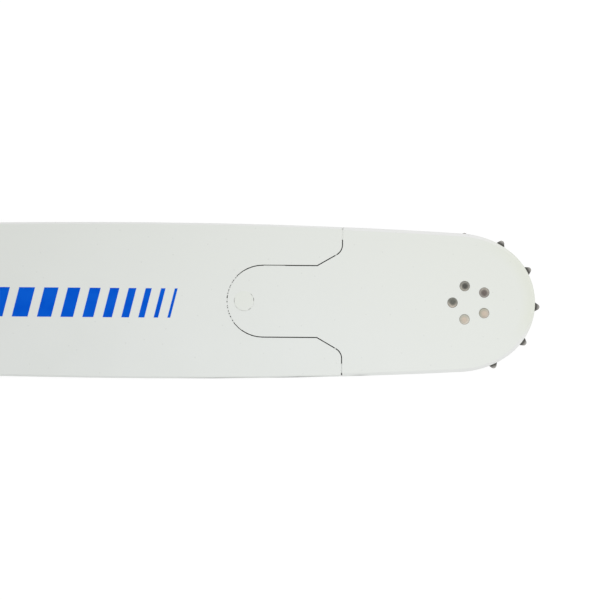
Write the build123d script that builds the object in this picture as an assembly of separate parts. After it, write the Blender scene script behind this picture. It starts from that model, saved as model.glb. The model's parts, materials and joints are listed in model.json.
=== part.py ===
from build123d import *
import math
import os

# A chainsaw guide bar with a replaceable sprocket nose, lying on its side.
# X runs along the bar towards the nose, Y across it and Z through its thickness.
# The origin is the middle of the stud slot, on the underside. All sizes are in millimetres.

# Plate and chain groove
bar_thickness = 4.8
groove_width = 1.6
groove_depth = 8.0
rail_bevel_width = 0.8
rail_bevel_depth = 0.6
nose_bevel_width = 1.3
nose_bevel_depth = 0.6

# Outline. Reach runs from the stud slot to the sprocket axis, setbacks run back from that axis.
# Across the bar, each width builds on the nose radius.
nose_reach = 523.0
nose_radius = 28.0
shoulder_setback = 3.4
shoulder_rise = 1.7
belly_setback = 138.0
belly_rise = 3.8
belly_radius = 3500.0
tail_drop = 5.0
tail_wall = 13.0
tail_corner_radius = 16.0

# Joint between the body and the nose plates
joint_setback = 54.7
joint_corner_radius = 5.0
flare_length = 10.9
flare_angle = 30.0
tongue_length = 49.4
tongue_half_width = 15.2
seam_gap = 0.45

# Saw mount at the tail
stud_slot_length = 72.0
stud_slot_width = 12.2
adjuster_hole_diameter = 6.6
adjuster_hole_x = 12.0
adjuster_hole_spacing = 28.0
oil_hole_diameter = 3.6
oil_hole_x = 27.0

# Sprocket
tooth_count = 11
tooth_protrusion = 2.15
tooth_tip_rounding = 1.25
tooth_flank_angle = 30.0
gullet_radius = 2.2
sprocket_rest_angle = -3.2
sprocket_side_clearance = 0.15
sprocket_web_clearance = 1.0

# Roller bearing
race_wall = 0.8
roller_diameter = 4.4
roller_radial_clearance = 0.03
roller_spacing_clearance = 0.06
roller_end_clearance = 0.1

# Rivets
rivet_fit = 0.02
nose_rivet_count = 5
nose_rivet_circle_radius = 7.5
nose_rivet_diameter = 4.4
tongue_rivet_inset = 7.1
tongue_rivet_diameter = 8.6

# Sizes that follow from the ones above
rail_thickness = (bar_thickness - groove_width) / 2
groove_bottom_z = rail_thickness
middle_z = bar_thickness / 2
tail_overhang = stud_slot_length / 2 + tail_wall
shoulder_half_width = nose_radius + shoulder_rise
belly_half_width = shoulder_half_width + belly_rise
tail_half_width = belly_half_width - tail_drop
joint_x = nose_reach - joint_setback
tongue_tip_x = joint_x - tongue_length
tooth_tip_radius = nose_radius + tooth_protrusion
race_radius = nose_rivet_circle_radius + nose_rivet_diameter / 2 + race_wall
roller_radius = roller_diameter / 2
roller_length = groove_width - 2 * roller_end_clearance
roller_circle_radius = race_radius + roller_radial_clearance + roller_radius
sprocket_bore_radius = roller_circle_radius + roller_radius + roller_radial_clearance
sprocket_thickness = groove_width - 2 * sprocket_side_clearance
roller_step = 2 * math.asin((roller_radius + roller_spacing_clearance / 2) / roller_circle_radius)
roller_count = int(2 * math.pi / roller_step)


def tangent_point(point, center, radius):
    """Where a line from the given point touches a circle, on the clockwise side seen from its centre."""
    away = point - center
    opening = math.degrees(math.acos(radius / away.length))
    return center + away.normalized().rotate(Axis.Z, -opening) * radius


def flipped(point):
    """The same point on the other side of the bar's centre line."""
    return Vector(point.X, -point.Y)


def bar_outline():
    """The bar seen from the side: straight tail, tapering rails, belly, shoulders and round nose."""
    nose_center = Vector(nose_reach, 0)
    nose_tip = Vector(nose_reach + nose_radius, 0)
    tail_corner = Vector(-tail_overhang, tail_half_width)
    belly = Vector(nose_reach - belly_setback, belly_half_width)
    shoulder = Vector(nose_reach - shoulder_setback, shoulder_half_width)

    # The straight taper runs into the arc behind the belly.
    taper_end = tangent_point(tail_corner, belly - Vector(0, belly_radius), belly_radius)

    # The rail in front of the belly is one arc down to the shoulder.
    run = shoulder.X - belly.X
    drop = belly.Y - shoulder.Y
    rail_radius = (run**2 + drop**2) / (2 * drop)
    to_rail_center = (belly - Vector(0, rail_radius) - shoulder).normalized()
    rail_end_direction = to_rail_center.rotate(Axis.Z, 90)

    # The shoulder arc leaves the rail smoothly and runs smoothly into the nose circle.
    offset_from_nose = shoulder - nose_center
    shoulder_radius = (nose_radius**2 - offset_from_nose.length**2) / (
        2 * (to_rail_center.dot(offset_from_nose) + nose_radius)
    )
    shoulder_center = shoulder + to_rail_center * shoulder_radius
    nose_start = nose_center + (nose_center - shoulder_center).normalized() * nose_radius

    upper = Curve() + [
        Line(tail_corner, taper_end),
        TangentArc(taper_end, belly, tangent=taper_end - tail_corner),
        TangentArc(belly, shoulder, tangent=(1, 0)),
        TangentArc(shoulder, nose_start, tangent=rail_end_direction),
    ]
    nose = ThreePointArc(nose_start, nose_tip, flipped(nose_start))
    tail = Line(flipped(tail_corner), tail_corner)
    outline = make_face(upper.edges() + mirror(upper, about=Plane.XZ).edges() + [nose, tail])
    return fillet(outline.vertices().sort_by(Axis.X)[:2], tail_corner_radius)


def nose_region():
    """Everything in front of the joint: the shoulders' straight line, the flare and the round tongue."""
    # The front reaches past the outline on every side but the joint's.
    front_length = joint_setback + 2 * nose_radius
    front = Pos(joint_x + front_length / 2, 0) * Rectangle(front_length, 3 * belly_half_width)
    flare_half_width = tongue_half_width + flare_length * math.tan(math.radians(flare_angle))
    corner = Vector(joint_x, flare_half_width)
    flare_start = Vector(joint_x - flare_length, tongue_half_width)
    flare = make_face(Polyline(corner, flare_start, flipped(flare_start), flipped(corner), close=True))
    tongue = Pos(joint_x, 0) * SlotOverall(2 * tongue_length, 2 * tongue_half_width)
    region = front + flare + tongue
    corners = region.vertices().sort_by_distance(corner)[:1]
    corners += region.vertices().sort_by_distance(flipped(corner))[:1]
    return fillet(corners, joint_corner_radius)


def side_wall(bevel_width, bevel_depth):
    """One outer layer of the whole bar, with its outer edge bevelled, on the upper side."""
    wall = extrude(Pos(0, 0, bar_thickness - rail_thickness) * bar_outline(), rail_thickness)
    face = wall.faces().sort_by(Axis.Z)[-1]
    return chamfer(face.edges(), bevel_width, bevel_depth, reference=face)


def through(sketch):
    """A cutter of the given shape through the whole thickness."""
    return extrude(sketch, bar_thickness)


def on_other_side(part):
    """The same part on the other face of the bar."""
    return mirror(part, about=Plane.XY.offset(middle_z))


def nose_rivet_places():
    """Places of the nose rivets round the sprocket axis, one of them towards the tail."""
    ring = PolarLocations(nose_rivet_circle_radius, nose_rivet_count, start_angle=180)
    return [Pos(nose_reach, 0) * place for place in ring]


def tongue_rivet_place():
    """Place of the rivet near the tip of the tongue."""
    return Pos(tongue_tip_x + tongue_rivet_inset, 0)


def nose_rivet_hole():
    """The cutter for one nose rivet's hole."""
    return through(Circle(nose_rivet_diameter / 2 + rivet_fit))


def tongue_rivet_hole():
    """The cutter for the tongue rivet's hole, in place."""
    return tongue_rivet_place() * through(Circle(tongue_rivet_diameter / 2 + rivet_fit))


def make_bar_body():
    """The grooved plate: a narrower middle layer between two walls that stop at the nose joint."""
    sprocket_room = Pos(nose_reach, 0) * Circle(tooth_tip_radius + sprocket_web_clearance)
    middle = offset(bar_outline(), -groove_depth) - sprocket_room
    core = extrude(Pos(0, 0, groove_bottom_z) * middle, groove_width)
    wall = side_wall(rail_bevel_width, rail_bevel_depth) - through(offset(nose_region(), seam_gap))
    body = core + wall + on_other_side(wall)

    stud_slot = SlotOverall(stud_slot_length, stud_slot_width)
    adjuster_holes = [
        Pos(adjuster_hole_x, side * adjuster_hole_spacing / 2) * Circle(adjuster_hole_diameter / 2)
        for side in (1, -1)
    ]
    # The oil holes break into the bottom of the groove.
    oil_hole_y = tail_half_width - groove_depth
    oil_holes = [Pos(oil_hole_x, side * oil_hole_y) * Circle(oil_hole_diameter / 2) for side in (1, -1)]
    body -= through(stud_slot)
    for hole in adjuster_holes + oil_holes:
        body -= through(hole)
    return body - tongue_rivet_hole()


def make_nose_plate():
    """The upper cheek of the nose, with its tongue and its rivet holes."""
    plate = side_wall(nose_bevel_width, nose_bevel_depth) & through(nose_region())
    for place in nose_rivet_places():
        plate -= place * nose_rivet_hole()
    return plate - tongue_rivet_hole()


def sprocket_profile():
    """A star with straight flanks, round tips and round gullets."""
    half_step = 180 / tooth_count
    flank_normal = Vector(1, 0).rotate(Axis.Z, 90 - tooth_flank_angle)
    tip_center = Vector(tooth_tip_radius - tooth_tip_rounding, 0)

    # The gullet circle touches the two flanks next to it.
    flank_distance = tip_center.dot(flank_normal) + tooth_tip_rounding
    gullet_direction = Vector(1, 0).rotate(Axis.Z, half_step)
    gullet_reach = (flank_distance + gullet_radius) / gullet_direction.dot(flank_normal)
    root_radius = gullet_reach - gullet_radius

    tip_end = tip_center + flank_normal * tooth_tip_rounding
    gullet_start = gullet_direction * gullet_reach - flank_normal * gullet_radius
    gullet_end = flipped(gullet_start).rotate(Axis.Z, 2 * half_step)
    next_tip_start = flipped(tip_end).rotate(Axis.Z, 2 * half_step)
    tooth = Curve() + [
        ThreePointArc(flipped(tip_end), (tooth_tip_radius, 0), tip_end),
        Line(tip_end, gullet_start),
        ThreePointArc(gullet_start, gullet_direction * root_radius, gullet_end),
        Line(gullet_end, next_tip_start),
    ]
    teeth = [Rot(0, 0, 2 * half_step * number) * tooth for number in range(tooth_count)]
    return make_face(ShapeList(edge for tooth in teeth for edge in tooth.edges()))


def make_sprocket():
    """The toothed ring that runs on the rollers, as it stands at rest."""
    ring = extrude(sprocket_profile() - Circle(sprocket_bore_radius), sprocket_thickness)
    at_rest = Pos(nose_reach, 0, groove_bottom_z + sprocket_side_clearance)
    return at_rest * Rot(0, 0, sprocket_rest_angle) * ring


def make_race():
    """The fixed disc that the rollers run on, clamped between the cheeks by the rivets."""
    race = Pos(nose_reach, 0, groove_bottom_z) * extrude(Circle(race_radius), groove_width)
    for place in nose_rivet_places():
        race -= place * nose_rivet_hole()
    return race


def make_rollers():
    """The loose rollers between race and sprocket, evenly spread."""
    roller = extrude(Circle(roller_radius), roller_length)
    center = Pos(nose_reach, 0, groove_bottom_z + roller_end_clearance)
    return [center * place * roller for place in PolarLocations(roller_circle_radius, roller_count)]


def make_nose_rivets():
    """The rivets round the sprocket axis, flush on both sides."""
    rivet = through(Circle(nose_rivet_diameter / 2))
    return Compound(children=[place * rivet for place in nose_rivet_places()])


def make_tongue_rivet():
    """The rivet that holds the tongues of both cheeks to the body, flush on both sides."""
    return tongue_rivet_place() * through(Circle(tongue_rivet_diameter / 2))


nose_plate = make_nose_plate()
parts = {
    "bar_body": make_bar_body(),
    "nose_plate_top": nose_plate,
    "nose_plate_bottom": on_other_side(nose_plate),
    "nose_sprocket": make_sprocket(),
    "bearing_race": make_race(),
    "nose_rivets": make_nose_rivets(),
    "tongue_rivet": make_tongue_rivet(),
}
for number, roller in enumerate(make_rollers(), start=1):
    parts[f"roller_{number:02d}"] = roller

os.makedirs("parts", exist_ok=True)
for name, part in parts.items():
    export_step(part, f"parts/{name}.step")
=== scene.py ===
import json
import math
import random

import bmesh
import bpy
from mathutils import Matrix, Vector


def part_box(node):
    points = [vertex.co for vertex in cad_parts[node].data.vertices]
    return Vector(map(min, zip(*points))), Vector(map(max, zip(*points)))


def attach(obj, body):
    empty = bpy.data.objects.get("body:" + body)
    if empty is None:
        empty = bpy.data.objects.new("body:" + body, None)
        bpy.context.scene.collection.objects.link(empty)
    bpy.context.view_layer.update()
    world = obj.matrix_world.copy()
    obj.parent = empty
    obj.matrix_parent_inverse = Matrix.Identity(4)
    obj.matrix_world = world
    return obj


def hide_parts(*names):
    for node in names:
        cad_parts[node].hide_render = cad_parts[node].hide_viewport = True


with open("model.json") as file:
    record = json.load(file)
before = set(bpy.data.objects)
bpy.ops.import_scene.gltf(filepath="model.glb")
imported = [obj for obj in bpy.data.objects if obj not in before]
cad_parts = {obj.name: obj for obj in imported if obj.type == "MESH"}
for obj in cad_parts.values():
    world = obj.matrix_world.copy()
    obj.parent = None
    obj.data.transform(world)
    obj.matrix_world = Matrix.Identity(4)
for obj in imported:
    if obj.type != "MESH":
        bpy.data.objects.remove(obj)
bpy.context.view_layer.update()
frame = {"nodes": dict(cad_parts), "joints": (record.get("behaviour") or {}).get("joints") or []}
nodes = frame["nodes"]

# Sizes are in metres. Those of the part come from the frame, all but the bevel of its rails.
MM = 0.001
under_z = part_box("bar_body")[0].z
face_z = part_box("bar_body")[1].z
middle_z = (under_z + face_z) / 2
half_thickness = face_z - middle_z
plate_low, plate_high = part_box("nose_plate_top")
half_groove = half_thickness - (plate_high.z - plate_low.z)
tongue_tip_x = plate_low.x
nose_tip_x = plate_high.x
spin_joint = next(joint for joint in frame["joints"] if joint["name"] == "sprocket_spin")
nose_axis = Vector(spin_joint["pos_m"])
nose_radius = nose_tip_x - nose_axis.x
tooth_tip_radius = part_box("nose_sprocket")[1].x - nose_axis.x
bevel_depth = 0.6 * MM
bevel_slope = 0.5

# Camera, straight above the front of the bar, with its lens and sensor in millimetres
view_center = Vector((450.03 * MM, 0.62 * MM, face_z))
view_width = 257.5 * MM
view_turn = math.radians(0.445)
camera_lens = 100.0
camera_sensor = 36.0

# Colours, linear
PAINT = (0.798, 0.822, 0.796, 1)
PAINT_SHADE = (0.781, 0.806, 0.778, 1)
PAINT_WARM = (0.786, 0.808, 0.760, 1)
PAINT_EDGE = (0.820, 0.824, 0.812, 1)
PAINT_TIP = (0.770, 0.793, 0.715, 1)
PAINT_OVER_RIVET = (0.775, 0.806, 0.690, 1)
SPECK = (0.45, 0.46, 0.44, 1)
# Darker colour for stretches of the outer edge of the lower rail's bevel
EDGE_DARKENED = (0.11, 0.11, 0.105, 1)
INK = (0.000, 0.095, 0.660, 1)
INK_THIN = (0.002, 0.115, 0.700, 1)
RAIL_DARK = (0.40, 0.40, 0.39, 1)
RAIL_LIGHT = (0.56, 0.56, 0.54, 1)
# Oiled steel of the groove, made near black as painted shade in the groove and the seam
GROOVE_SHADE_DARK = (0.020, 0.020, 0.018, 1)
GROOVE_SHADE_LIGHT = (0.050, 0.047, 0.043, 1)
BEARING_DARK = (0.46, 0.46, 0.45, 1)
BEARING_LIGHT = (0.60, 0.60, 0.59, 1)
OXIDE_DARK = (0.036, 0.037, 0.033, 1)
OXIDE_LIGHT = (0.094, 0.091, 0.083, 1)
WORN_STEEL_AND_HIGHLIGHT = (0.30, 0.29, 0.275, 1)
FLOOR_WHITE = (0.95, 0.95, 0.95, 1)
WHITE = (1, 1, 1, 1)

# Ranges of a noise that are spread from nothing to full
CLOUD_RANGE = (0.35, 0.65)
GRAIN_RANGE = (0.3, 0.7)


# Shader helpers
def feed(tree, node, inputs):
    """Sets a node's inputs, each to a plain value or to the socket that feeds it."""
    for name, value in inputs.items():
        if isinstance(value, bpy.types.NodeSocket):
            tree.links.new(value, node.inputs[name])
        else:
            node.inputs[name].default_value = value


def add_node(tree, kind, inputs=None, **settings):
    """A new shader node with its settings and inputs."""
    added = tree.nodes.new(kind)
    for name, value in settings.items():
        setattr(added, name, value)
    feed(tree, added, inputs or {})
    return added


def new_material(name):
    """A node material, its tree and its surface shader."""
    material = bpy.data.materials.new(name)
    material.use_nodes = True
    return material, material.node_tree, material.node_tree.nodes["Principled BSDF"]


def part_place(tree):
    """The place on the part, in metres."""
    return add_node(tree, "ShaderNodeTexCoord").outputs["Object"]


def split(tree, place):
    """The X, Y and Z of a place."""
    return add_node(tree, "ShaderNodeSeparateXYZ", {"Vector": place}).outputs


def stretched(tree, place, stretch):
    """The place with each axis drawn out, for a grain along it."""
    scale = [1 / factor for factor in stretch]
    return add_node(tree, "ShaderNodeMapping", {"Vector": place, "Scale": scale}).outputs["Vector"]


def noise(tree, place, size, detail):
    """Soft noise with patches of about the given size."""
    inputs = {"Vector": place, "Scale": 1 / size, "Detail": detail}
    return add_node(tree, "ShaderNodeTexNoise", inputs).outputs["Fac"]


def remap(tree, value, source, target=(0, 1)):
    """The value's source range as the target range, held at its ends."""
    inputs = {
        "Value": value,
        "From Min": source[0],
        "From Max": source[1],
        "To Min": target[0],
        "To Max": target[1],
    }
    return add_node(tree, "ShaderNodeMapRange", inputs).outputs["Result"]


def math_node(tree, operation, first, second=0.0):
    """The result of one sum."""
    return add_node(tree, "ShaderNodeMath", {0: first, 1: second}, operation=operation).outputs[0]


def vector_math(tree, operation, first, second=(0, 0, 0)):
    """The results of one sum on vectors."""
    return add_node(tree, "ShaderNodeVectorMath", {0: first, 1: second}, operation=operation).outputs


def mix(tree, share, first, second):
    """The first colour at share 0 and the second at share 1."""
    added = add_node(tree, "ShaderNodeMix", data_type="RGBA")
    places = [socket.identifier for socket in added.inputs]
    wanted = {"Factor_Float": share, "A_Color": first, "B_Color": second}
    feed(tree, added, {places.index(name): value for name, value in wanted.items()})
    return next(socket for socket in added.outputs if socket.identifier == "Result_Color")


def bump(tree, height, depth, rounding=0.0):
    """A surface normal from a height between 0 and 1, of the given depth, with edges rounded if asked."""
    inputs = {"Height": height, "Distance": depth}
    if rounding:
        bevel = add_node(tree, "ShaderNodeBevel", {"Radius": rounding}, samples=8)
        inputs["Normal"] = bevel.outputs["Normal"]
    return add_node(tree, "ShaderNodeBump", inputs).outputs["Normal"]


def radius_from(tree, place, axis):
    """The distance from an upright axis."""
    offset = vector_math(tree, "SUBTRACT", place, axis)["Vector"]
    flat = vector_math(tree, "MULTIPLY", offset, (1, 1, 0))["Vector"]
    return vector_math(tree, "LENGTH", flat)["Value"]


# Enamel: its clouds, specks and orange peel
cloud_size = 30 * MM
speck_spacing = 13 * MM
speck_ragged = 0.5 * MM
speck_reach = (0.006, 0.014)
speck_share = 0.18
peel_size = 1.3 * MM
peel_depth = 0.012 * MM
paint_roughness = (0.40, 0.48)
edge_rounding = 0.5 * MM

# The enamel gets warmer towards the upper edge and the nose.
warm_y = (-20 * MM, 40 * MM)
warm_x = (nose_axis.x - 68 * MM, nose_tip_x)
warm_share = 0.75

# It has another tint on the rim of the nose, which fades out inwards, backwards and downwards.
rim_radius = (nose_radius - 6.5 * MM, nose_radius - 2 * MM)
rim_x = (nose_axis.x + 2 * MM, nose_axis.x + 20 * MM)
rim_y = (-16 * MM, -6 * MM)

# Where the outer edge of the lower rail's bevel is darker: middle and half width in millimetres, and the
# most that shows
darker_edge_stretches = ((415.5, 21.0, 0.65), (449.3, 13.5, 0.95), (475.8, 5.0, 0.40))
darker_edge_fade = 0.7 * bevel_depth


def warm_tint(tree, axes):
    """How far the paint has turned warm."""
    upward = remap(tree, axes["Y"], warm_y, (0, warm_share))
    noseward = remap(tree, axes["X"], warm_x, (0, warm_share))
    return remap(tree, math_node(tree, "ADD", upward, noseward), (0, 1))


def rim_tint(tree, place, axes):
    """How far the paint has the tint of the nose's rim."""
    near_rim = remap(tree, radius_from(tree, place, nose_axis), rim_radius)
    near_tip = remap(tree, axes["X"], rim_x)
    upper_tip = remap(tree, axes["Y"], rim_y)
    return math_node(tree, "MULTIPLY", near_rim, math_node(tree, "MULTIPLY", near_tip, upper_tip))


def darker_edge_share(tree, axes):
    """How far the paint is darkened on the outer edge of the lower rail's bevel."""
    share = 0.0
    for center, half_width, most in darker_edge_stretches:
        along = math_node(tree, "SUBTRACT", axes["X"], center * MM)
        away = math_node(tree, "ABSOLUTE", along)
        share = math_node(tree, "MAXIMUM", share, remap(tree, away, (0, half_width * MM), (most, 0)))
    height = math_node(tree, "ABSOLUTE", math_node(tree, "SUBTRACT", axes["Z"], middle_z))
    bevel_edge = half_thickness - bevel_depth
    outer = remap(tree, height, (bevel_edge, bevel_edge + darker_edge_fade), (1, 0))
    below = math_node(tree, "LESS_THAN", axes["Y"], 0.0)
    return math_node(tree, "MULTIPLY", math_node(tree, "MULTIPLY", share, outer), below)


def speck_cover(tree, place):
    """How far a place is covered by a small ragged speck. There is one in each cell of an uneven grid."""
    inputs = {"Vector": place, "Scale": 1 / speck_spacing}
    cells = add_node(tree, "ShaderNodeTexVoronoi", inputs, voronoi_dimensions="2D")
    ragged = noise(tree, place, speck_ragged, detail=2)
    reach = math_node(tree, "MULTIPLY", cells.outputs["Distance"], ragged)
    return remap(tree, reach, speck_reach, (speck_share, 0))


def paint_material(name, warm, rounding=0.0, darker_edge=False):
    """Off-white satin enamel: faint clouds, a few grey specks and a fine orange peel."""
    material, tree, shader = new_material(name)
    place = part_place(tree)
    axes = split(tree, place)
    clouds = remap(tree, noise(tree, place, cloud_size, detail=3), CLOUD_RANGE)
    colour = mix(tree, warm_tint(tree, axes), mix(tree, clouds, PAINT_SHADE, PAINT), warm)
    colour = mix(tree, rim_tint(tree, place, axes), colour, PAINT_TIP)
    # Stretches of the lower rail's bevel edge are darkened
    if darker_edge:
        colour = mix(tree, darker_edge_share(tree, axes), colour, EDGE_DARKENED)
    finish = {
        "Base Color": mix(tree, speck_cover(tree, place), colour, SPECK),
        "Roughness": remap(tree, clouds, (0, 1), paint_roughness),
        "Normal": bump(tree, noise(tree, place, peel_size, detail=2), peel_depth, rounding),
    }
    feed(tree, shader, finish)
    return material


# Steel: its grain, which is drawn out along the ground rails
steel_grain = 0.25 * MM
steel_grain_depth = 0.006 * MM
rail_stretch = (40, 40, 1)
rail_roughness = (0.28, 0.42)
groove_roughness = (0.62, 0.80)
bearing_roughness = (0.22, 0.34)


def steel_material(name, dark, light, roughness, stretch=(1, 1, 1), metallic=1.0):
    """Bare steel with a fine grain, drawn out along the axes that stretch is large on."""
    material, tree, shader = new_material(name)
    lines = noise(tree, stretched(tree, part_place(tree), stretch), steel_grain, detail=3)
    finish = {
        "Base Color": mix(tree, remap(tree, lines, GRAIN_RANGE), dark, light),
        "Roughness": remap(tree, lines, GRAIN_RANGE, roughness),
        "Normal": bump(tree, lines, steel_grain_depth),
        "Metallic": metallic,
    }
    feed(tree, shader, finish)
    return material


# Sprocket steel: patches of oxide, fine pits, and teeth worn bright from a little outside the cheeks,
# which is also a painted highlight on their rounded tips
oxide_size = 0.6 * MM
oxide_roughness = (0.34, 0.56)
pit_size = 0.3 * MM
pit_depth = 0.015 * MM
wear_and_highlight_start = nose_radius + 0.7 * MM


def sprocket_material():
    """Dark hardened steel, brighter towards the tips of the teeth: worn steel and a painted highlight."""
    material, tree, shader = new_material("sprocket_steel")
    place = part_place(tree)
    stain = noise(tree, place, oxide_size, detail=4)
    oxide = mix(tree, remap(tree, stain, GRAIN_RANGE), OXIDE_DARK, OXIDE_LIGHT)
    # Brighter towards the tooth tips: wear and a painted highlight
    worn_and_highlight = remap(tree, radius_from(tree, place, nose_axis), (wear_and_highlight_start, tooth_tip_radius))
    finish = {
        "Base Color": mix(tree, worn_and_highlight, oxide, WORN_STEEL_AND_HIGHLIGHT),
        "Roughness": remap(tree, stain, GRAIN_RANGE, oxide_roughness),
        "Normal": bump(tree, noise(tree, place, pit_size, detail=3), pit_depth),
        "Metallic": 1.0,
    }
    feed(tree, shader, finish)
    return material


# Ink: its uneven cover, over the orange peel of the paint
ink_patch = 6 * MM
ink_roughness = (0.36, 0.46)
ink_gloss = 0.03
ink_peel_depth = 0.01 * MM


def ink_material():
    """Screen-printed blue ink, a little uneven in its cover."""
    material, tree, shader = new_material("print_ink")
    place = part_place(tree)
    cover = remap(tree, noise(tree, place, ink_patch, detail=4), CLOUD_RANGE)
    finish = {
        "Base Color": mix(tree, cover, INK, INK_THIN),
        "Roughness": remap(tree, cover, (0, 1), ink_roughness),
        "Normal": bump(tree, noise(tree, place, peel_size, detail=2), ink_peel_depth),
        "Specular IOR Level": ink_gloss,
    }
    feed(tree, shader, finish)
    return material


paint = paint_material("bar_paint", PAINT_WARM)
edge_paint = paint_material("edge_paint", PAINT_EDGE, edge_rounding, darker_edge=True)
rivet_paint = paint_material("rivet_paint", PAINT_OVER_RIVET)
ink = ink_material()
rail_steel = steel_material("rail_steel", RAIL_DARK, RAIL_LIGHT, rail_roughness, rail_stretch)
# The groove's steel is matt and near black: oiled steel with painted shade in the groove and the seam
groove_steel_and_shade = steel_material("groove_steel_and_shade", GROOVE_SHADE_DARK, GROOVE_SHADE_LIGHT, groove_roughness, metallic=0.0)
bearing_steel = steel_material("bearing_steel", BEARING_DARK, BEARING_LIGHT, bearing_roughness)
sprocket_steel = sprocket_material()


# Finish of the carried-over pieces
plate_materials = {"face": paint, "rail": rail_steel, "groove": groove_steel_and_shade, "bevel": edge_paint}

# The area round the stud slot and the adjuster holes, whose walls are painted
mount_area_x = 40 * MM
mount_area_y = 19 * MM

# Limits: how far a point may lie from the face that it is on, and how squarely a face looks along an axis
slack = 0.05 * MM
faces_fully = 0.99
faces_mostly = 0.9
faces_little = 0.3
faces_not = 0.01


def plate_finish(mesh, polygon):
    """Which finish a face of the body or a nose plate has."""
    slope = abs(polygon.normal.z)
    heights = [mesh.vertices[index].co.z for index in polygon.vertices]
    on_outer_face = max(abs(height - middle_z) for height in heights) > half_thickness - slack
    center = polygon.center
    in_mount_area = abs(center.x) < mount_area_x and abs(center.y) < mount_area_y
    if faces_little < slope < faces_fully:
        return "bevel"
    if in_mount_area or (on_outer_face and slope > faces_fully):
        return "face"
    beside_tongue = tongue_tip_x - slack < center.x < nose_axis.x
    along_rail = abs(polygon.normal.y) > faces_mostly or not beside_tongue
    outside_groove = abs(center.z - middle_z) > half_groove
    is_wall = slope < faces_little and not on_outer_face and outside_groove
    return "rail" if is_wall and along_rail else "groove"


def finish_plate(name):
    """Paint outside, ground steel on the rails' edges, and in the groove and the seam dark oiled steel,
    made near black and matt as painted shade.
    """
    mesh = nodes[name].data
    mesh.materials.clear()
    for material in plate_materials.values():
        mesh.materials.append(material)
    slots = list(plate_materials)
    for polygon in mesh.polygons:
        polygon.material_index = slots.index(plate_finish(mesh, polygon))


def finish_node(name, material):
    """One material for a whole piece."""
    mesh = nodes[name].data
    mesh.materials.clear()
    mesh.materials.append(material)


for name in ("bar_body", "nose_plate_top", "nose_plate_bottom"):
    finish_plate(name)
finish_node("nose_sprocket", sprocket_steel)
for name in nodes:
    if name.startswith("roller_") or name == "bearing_race":
        finish_node(name, bearing_steel)


# Mesh helpers
weld_distance = 0.001 * MM


def new_piece(name, mesh, materials):
    """An object from a finished mesh that moves with the bar."""
    bmesh.ops.recalc_face_normals(mesh, faces=mesh.faces)
    data = bpy.data.meshes.new(name)
    mesh.to_mesh(data)
    mesh.free()
    for material in materials:
        data.materials.append(material)
    piece = bpy.data.objects.new(name, data)
    bpy.context.scene.collection.objects.link(piece)
    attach(piece, "bar")
    return piece


def add_loft(mesh, rings, material_index=0, smooth=False):
    """A closed skin through rings of as many points each, with flat ends."""
    loops = [[mesh.verts.new(point) for point in ring] for ring in rings]
    count = len(loops[0])
    faces = []
    for lower, upper in zip(loops, loops[1:]):
        for index in range(count):
            following = (index + 1) % count
            corners = (lower[index], lower[following], upper[following], upper[index])
            faces.append(mesh.faces.new(corners))
    faces.append(mesh.faces.new(loops[0]))
    faces.append(mesh.faces.new(loops[-1]))
    for face in faces:
        face.smooth = smooth
        face.material_index = material_index


def ring(center, radius, z, count=48):
    """Points round an upright axis."""
    points = []
    for index in range(count):
        turn = 2 * math.pi * index / count
        x = center.x + radius * math.cos(turn)
        y = center.y + radius * math.sin(turn)
        points.append(Vector((x, y, z)))
    return points


def turn_between(first, second):
    """The angle between two directions, in degrees."""
    return abs((first - second + 180) % 360 - 180)


def welded(name):
    """A copy of a node's mesh with the points that lie on each other joined."""
    mesh = bmesh.new()
    mesh.from_mesh(nodes[name].data)
    bmesh.ops.remove_doubles(mesh, verts=mesh.verts, dist=weld_distance)
    return mesh


def islands(name):
    """The separate solids of a node, each as a list of its points."""
    mesh = welded(name)
    seen = set()
    found = []
    for start in mesh.verts:
        if start in seen:
            continue
        seen.add(start)
        front = [start]
        points = []
        while front:
            vertex = front.pop()
            points.append(vertex.co.copy())
            for edge in vertex.link_edges:
                other = edge.other_vert(vertex)
                if other not in seen:
                    seen.add(other)
                    front.append(other)
        found.append(points)
    mesh.free()
    return found


# Nose rivets with dished ends. Each end is a rim round a dish that was struck a little off centre.
rivet_edge = 0.10 * MM
rivet_cover = 0.03 * MM
rivet_sink = 0.04 * MM
dish_steps = 6

# Each rivet's angle round the nose axis, with its tint, the direction of the rim's painted shade,
# and the offset, radius and depth of its dish in millimetres
rivet_ends = {
    106: ("dark", 85, (0.15, 0.00), 1.55, 0.45),
    34: ("brown", 250, (0.05, -0.05), 1.65, 0.40),
    178: ("dull", 85, (0.12, 0.36), 1.60, 0.40),
    250: ("light", 125, (-0.10, -0.10), 1.60, 0.22),
    322: ("pale", 140, (0.10, -0.20), 1.75, 0.22),
}

# Tints of a rivet's end with painted light in them: the rim's painted shade, the dish's tint with a
# painted reflection in it, and the rim's painted highlight
rivet_tints_and_painted_light = {
    "dark": ((0.215, 0.212, 0.188, 1), (0.074, 0.074, 0.067, 1), (0.345, 0.330, 0.285, 1)),
    "dull": ((0.195, 0.197, 0.172, 1), (0.112, 0.114, 0.100, 1), (0.400, 0.358, 0.308, 1)),
    "brown": ((0.250, 0.232, 0.211, 1), (0.124, 0.106, 0.096, 1), (0.322, 0.304, 0.266, 1)),
    "pale": ((0.305, 0.302, 0.250, 1), (0.400, 0.340, 0.280, 1), (0.415, 0.366, 0.324, 1)),
    "light": ((0.325, 0.322, 0.276, 1), (0.415, 0.358, 0.298, 1), (0.480, 0.440, 0.380, 1)),
}

# Where the rim's painted shade is full and where the dish's own tint begins to fade, as shares of their
# radii
rim_painted_shade_from = 0.3
dish_tint_reach = 0.45
rivet_stain_size = 0.5 * MM
rivet_stain_range = (0.35, 0.70)
rivet_stain_share = 0.22
rivet_roughness = (0.42, 0.56)
rivet_grain = 0.2 * MM
rivet_grain_depth = 0.008 * MM


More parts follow.
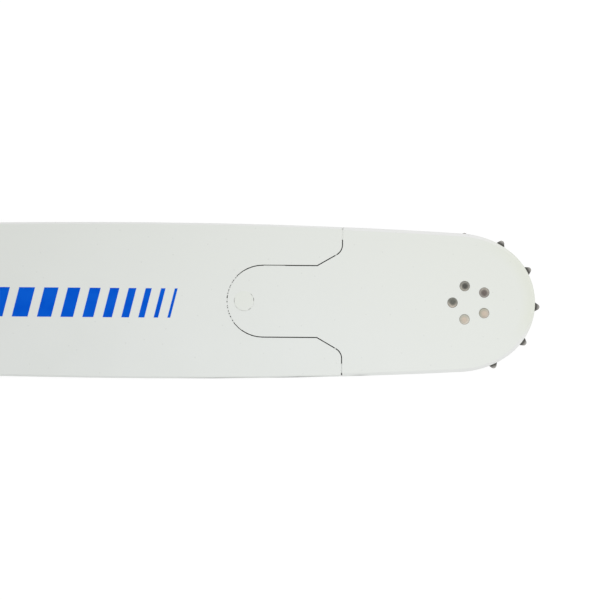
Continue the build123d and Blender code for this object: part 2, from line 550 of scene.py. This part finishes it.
def rivet_material(name, center, radius, dish_center, dish_radius, tint, painted_shade_side):
    """Stained steel with painted light: the dish has one tint with a painted reflection in it, and the rim
    goes from a painted highlight to painted shade across the end.
    """
    painted_shade, dish_tint_and_reflection, painted_highlight = rivet_tints_and_painted_light[tint]
    material, tree, shader = new_material(name)
    place = part_place(tree)
    side = Vector((math.cos(math.radians(painted_shade_side)), math.sin(math.radians(painted_shade_side)), 0))
    across = vector_math(tree, "DOT_PRODUCT", place, side)["Value"]
    middle = center.xy.to_3d().dot(side)
    # Painted shade on one side of the rim and a painted highlight on the other
    painted_shade_share = remap(tree, across, (middle - radius, middle + rim_painted_shade_from * radius))
    away = remap(tree, radius_from(tree, place, dish_center), (dish_tint_reach * dish_radius, dish_radius))
    colour = mix(tree, away, dish_tint_and_reflection, mix(tree, painted_shade_share, painted_highlight, painted_shade))

    stain = noise(tree, place, rivet_stain_size, detail=3)
    stained = remap(tree, stain, rivet_stain_range, (0, rivet_stain_share))
    finish = {
        "Base Color": mix(tree, stained, colour, dish_tint_and_reflection),
        "Roughness": remap(tree, stain, GRAIN_RANGE, rivet_roughness),
        "Normal": bump(tree, noise(tree, place, rivet_grain, detail=3), rivet_grain_depth),
        "Metallic": 1.0,
    }
    feed(tree, shader, finish)
    return material


def rivet_rings(center, radius, dish_center, dish_radius, dish_depth, outer_z, inward):
    """One end of a rivet, from its shank to the middle of its dish."""
    level = outer_z + inward * rivet_sink
    rings = [
        ring(center, radius, level + inward * 2 * rivet_edge),
        ring(center, radius + rivet_cover, level + inward * rivet_edge),
        ring(center, radius - rivet_edge, level),
        ring(dish_center, dish_radius, level),
    ]
    for step in range(1, dish_steps):
        share = 1 - step / dish_steps
        sunk = dish_depth * (1 - share**2)
        rings.append(ring(dish_center, dish_radius * share, level + inward * sunk))
    return rings


def make_nose_rivets():
    """Five flush rivets in place of the plain ones."""
    mesh = bmesh.new()
    materials = []
    for points in islands("nose_rivets"):
        center = sum(points, Vector()) / len(points)
        radius = max((point.xy - center.xy).length for point in points)
        turn = math.degrees(math.atan2(center.y - nose_axis.y, center.x - nose_axis.x))
        angle = min(rivet_ends, key=lambda place: turn_between(place, turn))
        tint, painted_shade_side, offset, dish_radius, dish_depth = rivet_ends[angle]
        dish_center = center + Vector((*offset, 0)) * MM
        shape = (center, radius, dish_center, dish_radius * MM)
        lower = rivet_rings(*shape, dish_depth * MM, under_z, 1)
        upper = rivet_rings(*shape, dish_depth * MM, face_z, -1)
        add_loft(mesh, lower[::-1] + upper, len(materials), smooth=True)
        materials.append(rivet_material(f"nose_rivet_{angle}", *shape, tint, painted_shade_side))
    piece = new_piece("dished_nose_rivets", mesh, materials)
    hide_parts("nose_rivets")


# Tongue rivet, painted over, with a broken groove left in the paint round it
tongue_rivet_points = 180
tongue_rivet_lip = 0.30 * MM
tongue_rivet_cover = 0.03 * MM
tongue_rivet_film = 0.015 * MM
tongue_rivet_skirt = 0.60 * MM

# The open stretches of that groove: angle and half width in degrees, and depth in millimetres
open_stretches = (
    (10, 13, 0.55),
    (29, 7, 0.14),
    (41, 6, 0.45),
    (-53, 11, 0.36),
    (-95, 38, 0.13),
    (-20, 22, 0.11),
    (177, 19, 0.22),
    (212, 16, 0.10),
    (223, 8, 0.18),
)


def groove_depth(turn):
    """Depth of the groove round the tongue rivet, at an angle in degrees."""
    depth = 0.0
    for angle, half_width, deepest in open_stretches:
        away = turn_between(turn, angle) / half_width
        depth = max(depth, deepest * max(0.0, 1 - away**2))
    return depth * MM


def make_tongue_rivet():
    """The flush rivet near the tip of the tongue, its edge half filled with paint."""
    lowest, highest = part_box("tongue_rivet")
    center = (lowest + highest) / 2
    radius = (highest.x - lowest.x) / 2
    count = tongue_rivet_points

    def edge(outer_z, inward):
        points = ring(center, radius + tongue_rivet_cover, 0, count)
        for index, point in enumerate(points):
            point.z = outer_z + inward * (tongue_rivet_film + groove_depth(360 * index / count))
        return points

    def end(outer_z, inward):
        return [
            ring(center, radius, outer_z + inward * tongue_rivet_skirt, count),
            edge(outer_z, inward),
            ring(center, radius - tongue_rivet_lip, outer_z + inward * tongue_rivet_film, count),
        ]

    mesh = bmesh.new()
    add_loft(mesh, end(under_z, 1)[::-1] + end(face_z, -1))
    piece = new_piece("painted_tongue_rivet", mesh, [rivet_paint])
    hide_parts("tongue_rivet")


# Paint that bridges the seam. It sags in its middle, and each end of a stretch is hollow.
seam_step = 0.3 * MM
seam_fewest_steps = 4
seam_film = 0.12 * MM
seam_overlap = 0.02 * MM
seam_probe_depth = 0.4 * MM
seam_section_steps = 4
seam_edge_sag = 0.45
seam_end_curve = 0.14 * MM
seam_end_sag = 0.12 * MM
seam_end_power = 8

# Places and depths of that paint are in millimetres. A place is a distance along the seam from the upper
# rail. A lip is paint that closes only a share of the gap.
lip_depth = 0.05
lip_share = 0.25
lips = ((35.0, 44.5), (53.0, 57.1), (78.1, 83.0))

# Round the end of the tongue the paint is broken. Each zone has its start, its end and its widest break.
broken_zones = ((57.0, 59.4, 0.36), (59.4, 66.6, 0.14), (67.2, 78.2, 0.36))
broken_reach = (0.4, 1.7)
broken_depth = (0.06, 0.18)
least_break = 0.05


def seam_line(name, outer_z):
    """The outer edge of a nose plate's joint, from the upper rail round the tongue to the lower rail."""
    mesh = welded(name)

    def is_rim(edge):
        level = all(abs(vertex.co.z - outer_z) < slack for vertex in edge.verts)
        slopes = sorted(abs(face.normal.z) for face in edge.link_faces)
        return level and slopes[0] < faces_not and slopes[-1] > faces_fully

    joined = {}
    for edge in filter(is_rim, mesh.edges):
        first, second = edge.verts
        joined.setdefault(first, []).append(second)
        joined.setdefault(second, []).append(first)
    ends = [vertex for vertex, others in joined.items() if len(others) == 1]
    vertex = max(ends, key=lambda end: end.co.y)
    line = []
    before = None
    while vertex is not None:
        line.append(vertex.co.copy())
        following = next((other for other in joined[vertex] if other is not before), None)
        before, vertex = vertex, following
    mesh.free()
    return line


def point_along(line, distance):
    """The point at a distance along a line, which goes on straight past its ends."""
    if distance < 0:
        return line[0] + (line[0] - line[1]).normalized() * -distance
    for first, second in zip(line, line[1:]):
        length = (second - first).length
        if distance <= length:
            return first.lerp(second, distance / length)
        distance -= length
    return line[-1] + (line[-1] - line[-2]).normalized() * distance


def upper_joint_covers(length):
    """The paint in the upper side's seam next to the rails, with an open end at the lower rail."""
    return [(-1.1, 4.2, 0.12, 1.0), (length - 4.3, length - 0.1, 0.24, 1.0)]


def under_joint_covers(length):
    """The paint that closes the under side's seam over the whole depth of the groove."""
    return [(-1.1, 8.6, 0.06, 1.0), (length - 8.6, length + 1.1, 0.10, 1.0)]


def bridges(length, joint_covers, seed):
    """The paint in a seam: start, end, depth, and the share of the gap that it closes."""
    stretches = [
        *joint_covers(length),
        (11.6, 12.5, 0.28, 1.0),
        *((start, end, lip_depth, lip_share) for start, end in lips),
        (length - 12.4, length - 11.6, 0.60, 1.0),
    ]
    draw = random.Random(seed)
    for place, end, widest_break in broken_zones:
        while place < end:
            reach = draw.uniform(*broken_reach)
            stretches.append((place, min(place + reach, end), draw.uniform(*broken_depth), 1.0))
            place += reach + draw.uniform(least_break, widest_break)
    return stretches


def bridge_section(line, length, distance, curve, depth, closed, outer_z, inward):
    """The paint's section across the seam: a shallow gutter from the plate towards the body."""
    past_end = max(0.0, -distance, distance - length)
    bevel_drop = bevel_slope * past_end
    plate_edge = point_along(line, distance)
    along = (point_along(line, distance + seam_step) - plate_edge).normalized()
    probe = plate_edge.copy()
    probe.z = outer_z + inward * seam_probe_depth
    body_edge = nodes["bar_body"].closest_point_on_mesh(probe)[1]
    across = (body_edge - plate_edge).xy.to_3d() * closed
    overlap = across.normalized() * seam_overlap
    start = plate_edge - overlap
    end = plate_edge + across + overlap
    surface = []
    for step in range(seam_section_steps + 1):
        share = step / seam_section_steps
        middle = 1 - (2 * share - 1) ** 2
        sag = depth * (seam_edge_sag + (1 - seam_edge_sag) * middle)
        point = start.lerp(end, share) + along * curve * middle
        point.z = outer_z + inward * (sag + bevel_drop)
        surface.append(point)
    under = [point + Vector((0, 0, inward * seam_film)) for point in reversed(surface)]
    return surface + under


def make_seam_paint(name, plate, outer_z, inward, joint_covers, seed):
    """The paint left in one side's seam."""
    line = seam_line(plate, outer_z)
    length = sum((second - first).length for first, second in zip(line, line[1:]))
    mesh = bmesh.new()
    for start, end, depth, closed in bridges(length / MM, joint_covers, seed):
        count = max(seam_fewest_steps, round((end - start) * MM / seam_step))
        sections = []
        for index in range(count + 1):
            share = index / count
            distance = (start + (end - start) * share) * MM
            from_middle = 2 * share - 1
            curve = -seam_end_curve * from_middle
            sunk = depth * MM + seam_end_sag * from_middle**seam_end_power
            section = bridge_section(line, length, distance, curve, sunk, closed, outer_z, inward)
            sections.append(section)
        add_loft(mesh, sections)
    new_piece(name, mesh, [paint])


# Plain print: slanted stripes that get thinner towards the nose
print_right_x = 397.5 * MM
print_top_y = 5.2 * MM
print_height = 12.6 * MM
print_slant = math.radians(14)
print_film = 0.02 * MM
stripe_count = 11
stripe_gap = 4.0 * MM
thinnest_stripe = 1.2 * MM
stripe_growth = 0.7 * MM


def make_print():
    """The row of stripes on the upper face."""
    mesh = bmesh.new()
    lean = Vector((-print_height * math.tan(print_slant), -print_height, 0))
    right = Vector((print_right_x, print_top_y, face_z))
    for index in range(stripe_count):
        width = thinnest_stripe + index * stripe_growth
        left = right - Vector((width, 0, 0))
        outline = [right, left, left + lean, right + lean]
        lower = [point - Vector((0, 0, print_film)) for point in outline]
        upper = [point + Vector((0, 0, print_film)) for point in outline]
        add_loft(mesh, [lower, upper])
        right = left - Vector((stripe_gap, 0, 0))
    new_piece("print_stripes", mesh, [ink])


make_nose_rivets()
make_tongue_rivet()
make_seam_paint("seam_paint_top", "nose_plate_top", face_z, -1, upper_joint_covers, seed=3)
make_seam_paint("seam_paint_bottom", "nose_plate_bottom", under_z, 1, under_joint_covers, seed=8)
make_print()


# Floor, light and camera
floor_size = 6.0
floor_drop = 0.05 * MM
floor_roughness = 0.9
floor_glow = 1.10
floor_glow_share = 0.80
world_light = 0.67
world_slant = 0.30
world_bright_side = math.radians(60)
world_horizon = 0.5
key_place = Vector((0.55, -0.05, 0.32))
key_size = 0.40
key_power = 0.44


def background_rays(tree):
    """1 for the rays that show the background: seen straight, mirrored or through glass."""
    path = add_node(tree, "ShaderNodeLightPath")
    share = path.outputs["Is Camera Ray"]
    for name in ("Is Glossy Ray", "Is Transmission Ray"):
        share = math_node(tree, "MAXIMUM", share, path.outputs[name])
    return share


def mix_shaders(tree, share, first, second):
    """The first shader at share 0 and the second at share 1."""
    return add_node(tree, "ShaderNodeMixShader", {0: share, 1: first, 2: second}).outputs[0]


def floor_material():
    """White, and partly glowing where it shows, so that it looks white and keeps a soft shadow."""
    material, tree, shader = new_material("floor_white")
    feed(tree, shader, {"Base Color": FLOOR_WHITE, "Roughness": floor_roughness})
    matt = shader.outputs["BSDF"]
    glow = add_node(tree, "ShaderNodeEmission", {"Color": WHITE, "Strength": floor_glow})
    seen = mix_shaders(tree, floor_glow_share, matt, glow.outputs["Emission"])
    lit = mix_shaders(tree, background_rays(tree), matt, seen)
    feed(tree, tree.nodes["Material Output"], {"Surface": lit})
    return material


def make_floor():
    """A wide white floor just under the part."""
    mesh = bmesh.new()
    bmesh.ops.create_grid(mesh, x_segments=1, y_segments=1, size=floor_size / 2)
    data = bpy.data.meshes.new("floor")
    mesh.to_mesh(data)
    mesh.free()
    data.materials.append(floor_material())
    floor = bpy.data.objects.new("floor", data)
    floor.location.z = under_z - floor_drop
    bpy.context.scene.collection.objects.link(floor)


def make_world():
    """White where the background shows. Its light is soft, and stronger low down and from one side."""
    world = bpy.data.worlds.new("studio")
    world.use_nodes = True
    tree = world.node_tree
    direction = add_node(tree, "ShaderNodeTexCoord").outputs["Generated"]
    side = (math.cos(world_bright_side), math.sin(world_bright_side), 0)
    facing = vector_math(tree, "DOT_PRODUCT", direction, side)["Value"]
    slant = remap(tree, facing, (-1, 1), (1 - world_slant, 1 + world_slant))
    low_light = world_light * (1 + world_horizon)
    high_light = world_light * (1 - world_horizon / 2)
    level = remap(tree, split(tree, direction)["Z"], (0, 1), (low_light, high_light))
    light = math_node(tree, "MULTIPLY", slant, level)
    inputs = {"Factor": background_rays(tree), "A": light, "B": 1.0}
    strength = add_node(tree, "ShaderNodeMix", inputs, data_type="FLOAT").outputs["Result"]
    feed(tree, tree.nodes["Background"], {"Color": WHITE, "Strength": strength})
    bpy.context.scene.world = world


def make_key_light():
    """A soft box over the nose that faces straight down."""
    data = bpy.data.lights.new("key", "AREA")
    data.size = key_size
    data.energy = key_power
    key = bpy.data.objects.new("key", data)
    key.location = key_place
    bpy.context.scene.collection.objects.link(key)


def make_camera():
    """Straight down on the front of the bar."""
    data = bpy.data.cameras.new("camera")
    data.lens = camera_lens
    data.sensor_width = camera_sensor
    camera = bpy.data.objects.new("camera", data)
    camera.location = view_center + Vector((0, 0, view_width * camera_lens / camera_sensor))
    camera.rotation_euler.z = view_turn
    bpy.context.scene.collection.objects.link(camera)
    bpy.context.scene.camera = camera


make_floor()
make_world()
make_key_light()
make_camera()
bpy.context.scene.view_settings.view_transform = "Standard"
